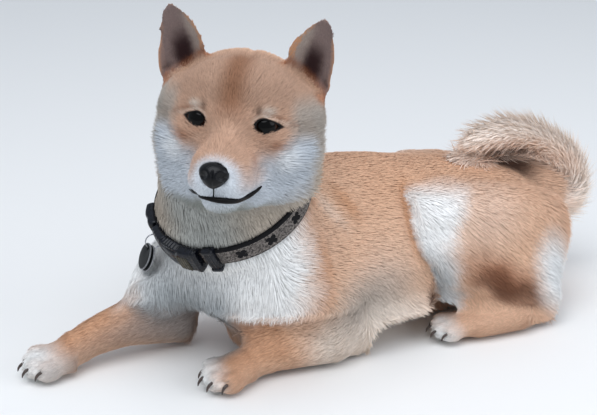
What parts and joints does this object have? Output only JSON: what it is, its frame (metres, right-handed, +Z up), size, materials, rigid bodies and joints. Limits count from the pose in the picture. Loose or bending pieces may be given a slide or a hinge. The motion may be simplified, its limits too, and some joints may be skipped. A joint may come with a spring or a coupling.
{
  "type": "shiba inu",
  "caption": "Young red and cream dog lying with its forelegs stretched out, head turned and raised, tail curled over its back, with a buckled collar and tags.",
  "frame": {"origin": "on the floor under the brisket, between the elbows, where the underside of the body rests flat", "axes": "+X towards the dog's left side, +Y towards its tail along the length of the body, +Z up"},
  "size_m": [0.1872, 0.5202, 0.287],
  "materials": {
    "red_coat": "dense short tan fur",
    "cream_coat": "soft cream fur",
    "nose_leather": "damp black pebbled skin",
    "dark_eye": "clear glossy dark brown",
    "collar_webbing": "grey-brown woven webbing",
    "buckle_plastic": "satin black moulded",
    "tag_enamel": "black enamel",
    "ring_steel": "plain bright wire"
  },
  "bodies": {
    "root": {"torso": "red_coat", "neck": "cream_coat", "head": "red_coat", "ear_left": "red_coat", "ear_right": "red_coat", "eye_left": "dark_eye", "eye_right": "dark_eye", "nose": "nose_leather", "foreleg_left": "red_coat", "foreleg_right": "red_coat", "forepaw_left": "cream_coat", "forepaw_right": "cream_coat", "hindleg_left": "red_coat", "hindleg_right": "red_coat", "hindpaw_left": "cream_coat", "hindpaw_right": "cream_coat", "tail_base": "cream_coat", "tail_curl": "cream_coat", "tail_tip": "cream_coat", "collar_band": "collar_webbing", "collar_buckle": "buckle_plastic", "collar_slider": "buckle_plastic", "collar_loop": "buckle_plastic", "collar_d_ring": "ring_steel", "tag_ring": "ring_steel", "tag_front": "tag_enamel", "tag_back": "tag_enamel"}
  },
  "joints": []
}
